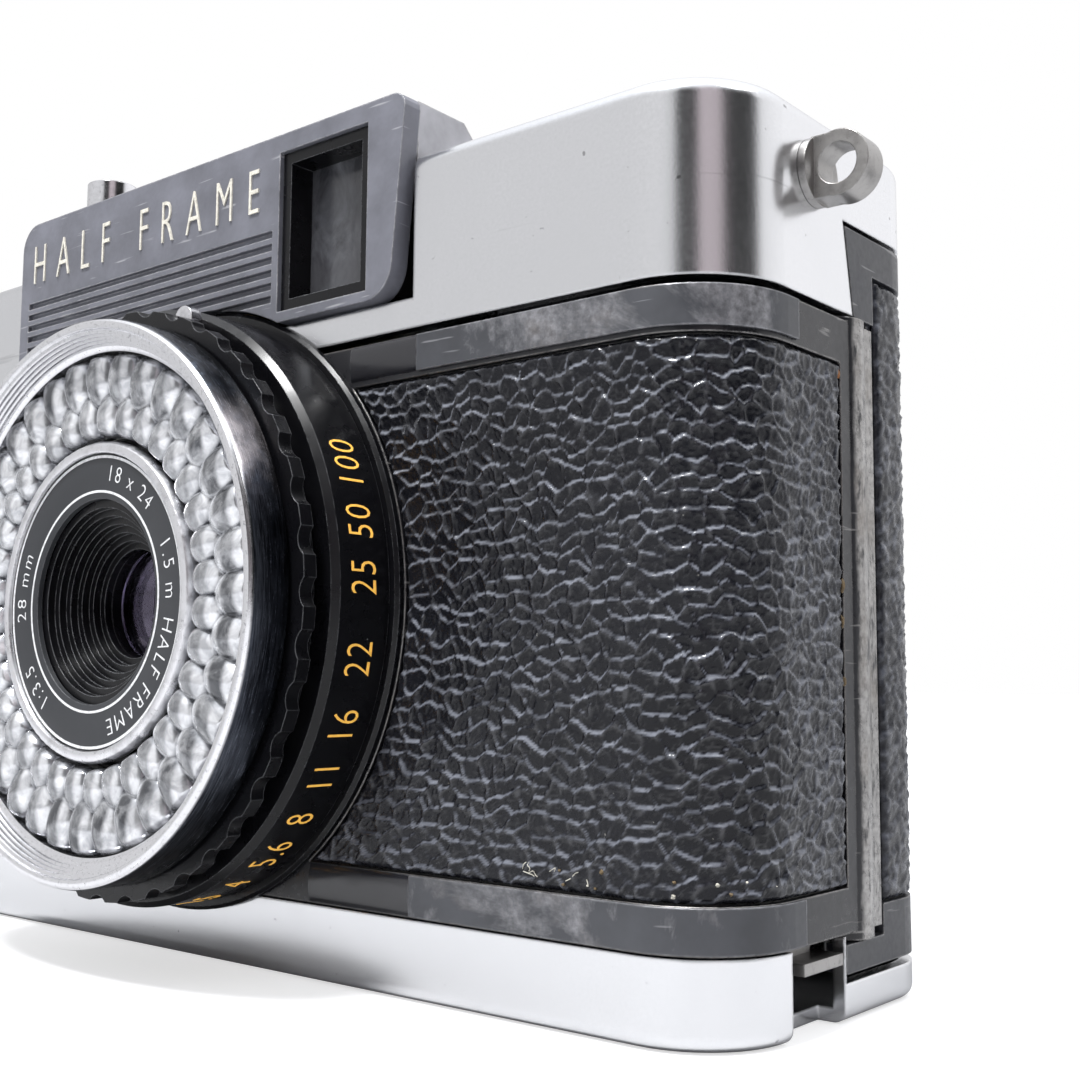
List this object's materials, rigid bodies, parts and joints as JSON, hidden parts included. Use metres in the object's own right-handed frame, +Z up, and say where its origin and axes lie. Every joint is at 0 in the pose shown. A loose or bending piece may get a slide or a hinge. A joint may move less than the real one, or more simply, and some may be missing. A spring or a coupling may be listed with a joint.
{
  "type": "half frame camera",
  "caption": "Compact half frame camera with a ring light meter round the lens, a hinged back, a thumb advance wheel and a fold-out rewind crank.",
  "frame": {"origin": "middle of the tripod socket's mouth, in the plane that the camera stands on", "axes": "+Z up, -Y the way the lens looks, +X to the right when seen from the front"},
  "size_m": [0.1306, 0.0432, 0.0743],
  "materials": {
    "satin_cover": "satin anodised, fine grain",
    "worn_casting": "die-cast aluminium, black enamel worn to bare metal at the edges",
    "plate_paint": "aluminium in grey crackle paint, bright worn edges",
    "leatherette": "coarse pebble grain",
    "black_enamel": "aluminium in gloss black",
    "polished_ring": "polished",
    "steel": "dull worn steel",
    "brass": "plain machined",
    "clear_plastic": "moulded clear plastic with bubbles",
    "lens_glass": "coated glass",
    "cell": "meter cell, bronze grey",
    "foam": "black foam",
    "dial_white": "white dial",
    "black_plastic": "black plastic"
  },
  "bodies": {
    "camera": {"body_casting": "worn_casting", "front_leather": "leatherette", "trim_plates": "worn_casting", "top_cover": "satin_cover", "nameplate": "plate_paint", "finder_hood": "plate_paint", "finder_frame": "black_enamel", "finder_front_glass": "lens_glass", "finder_tube": "black_plastic", "eyepiece_ring": "black_enamel", "eyepiece_glass": "lens_glass", "accessory_shoe": "polished_ring", "shoe_contact": "brass", "case_screws": "steel", "counter_window": "clear_plastic", "button_collar": "polished_ring", "release_spring": "steel", "strap_lugs": "steel", "hinge_pin": "steel", "light_seals": "foam", "bottom_cover": "satin_cover", "tripod_socket": "steel", "mechanism_plate": "brass", "galvanometer": "steel", "film_gate": "black_enamel", "lens_barrel": "black_enamel", "lens_screws": "steel", "bezel_ring": "polished_ring", "meter_window": "clear_plastic", "selenium_cell": "cell", "front_cone": "black_enamel", "name_ring": "black_enamel", "lens_cell": "black_enamel", "front_element": "lens_glass", "rear_element": "lens_glass", "shutter_plate": "black_enamel"},
    "door": {"back_door": "worn_casting", "door_leather": "leatherette", "pressure_springs": "steel"},
    "pressure_plate": {"pressure_plate": "black_enamel"},
    "latch": {"door_latch": "steel"},
    "button": {"shutter_button": "polished_ring"},
    "speed_ring": {"film_speed_ring": "black_enamel"},
    "number_ring": {"aperture_ring": "black_enamel", "index_pin": "polished_ring"},
    "advance": {"advance_wheel": "black_plastic", "advance_shaft": "steel", "advance_gear": "brass"},
    "spool": {"take_up_spool": "black_plastic"},
    "sprocket": {"film_sprocket": "steel", "sprocket_gear": "brass"},
    "counter": {"counter_dial": "dial_white"},
    "rewind_slide": {"rewind_collar": "brass"},
    "rewind": {"rewind_knob": "satin_cover", "rewind_shaft": "steel"},
    "crank": {"rewind_crank": "polished_ring"},
    "grip": {"crank_grip": "black_plastic"},
    "release": {"rewind_release_button": "steel"},
    "blade_a": {"shutter_blade_a": "steel"},
    "blade_b": {"shutter_blade_b": "steel"}
  },
  "joints": [
    {"name": "door_hinge", "type": "hinge", "parent": "camera", "child": "door", "pos_m": [-0.0586, 0.0034, 0.0298], "axis": [0, 0, 1], "range_deg": [0, 105]},
    {"name": "pressure_plate_spring", "type": "slide", "parent": "door", "child": "pressure_plate", "axis": [0, 1, 0], "range_m": [0, 0.0006]},
    {"name": "latch_slide", "type": "slide", "parent": "camera", "child": "latch", "axis": [0, 0, -1], "range_m": [0, 0.0024]},
    {"name": "shutter_button_press", "type": "slide", "parent": "camera", "child": "button", "axis": [0, 0, -1], "range_m": [0, 0.0015], "deforming": ["release_spring"]},
    {"name": "film_speed_turn", "type": "hinge", "parent": "camera", "child": "speed_ring", "pos_m": [0.006, -0.0223, 0.0298], "axis": [0, -1, 0], "range_deg": [0, 90]},
    {"name": "aperture_turn", "type": "hinge", "parent": "camera", "child": "number_ring", "pos_m": [0.006, -0.0183, 0.0298], "axis": [0, -1, 0], "range_deg": [0, 145]},
    {"name": "advance_spin", "type": "hinge", "parent": "camera", "child": "advance", "pos_m": [-0.043, 0.0012, 0.058], "axis": [0, 0, 1], "continuous": true},
    {"name": "spool_spin", "type": "hinge", "parent": "camera", "child": "spool", "pos_m": [-0.043, 0.0012, 0.0298], "axis": [0, 0, 1], "continuous": true},
    {"name": "sprocket_spin", "type": "hinge", "parent": "camera", "child": "sprocket", "pos_m": [-0.02421, 0.004, 0.0298], "axis": [0, 0, 1], "continuous": true},
    {"name": "counter_spin", "type": "hinge", "parent": "camera", "child": "counter", "pos_m": [-0.038, -0.004, 0.0627], "axis": [0, 0, 1], "continuous": true},
    {"name": "rewind_pull", "type": "slide", "parent": "camera", "child": "rewind_slide", "axis": [0, 0, 1], "range_m": [0, 0.005]},
    {"name": "rewind_spin", "type": "hinge", "parent": "rewind_slide", "child": "rewind", "pos_m": [0.0438, 0.0002, 0.06], "axis": [0, 0, 1], "continuous": true},
    {"name": "crank_fold", "type": "hinge", "parent": "rewind", "child": "crank", "pos_m": [0.0374, 0.0002, 0.06755], "axis": [0, -1, 0], "range_deg": [0, 165]},
    {"name": "crank_grip_spin", "type": "hinge", "parent": "crank", "child": "grip", "pos_m": [0.0504, 0.0002, 0.06755], "axis": [0, 0, 1], "continuous": true},
    {"name": "rewind_release_press", "type": "slide", "parent": "camera", "child": "release", "axis": [0, 0, 1], "range_m": [0, 0.0012]},
    {"name": "shutter_blade_a_swing", "type": "hinge", "parent": "camera", "child": "blade_a", "pos_m": [0.018, -0.01115, 0.0298], "axis": [0, -1, 0], "range_deg": [-60, 0]},
    {"name": "shutter_blade_b_swing", "type": "hinge", "parent": "camera", "child": "blade_b", "pos_m": [-0.006, -0.01055, 0.0298], "axis": [0, -1, 0], "range_deg": [-60, 0]}
  ],
  "couplings": [
    {"joint": "spool_spin", "follows": "advance_spin", "ratio": 1},
    {"joint": "sprocket_spin", "follows": "advance_spin", "ratio": -1.375},
    {"joint": "counter_spin", "follows": "advance_spin", "ratio": 0.036184},
    {"joint": "shutter_blade_b_swing", "follows": "shutter_blade_a_swing", "ratio": 1}
  ]
}
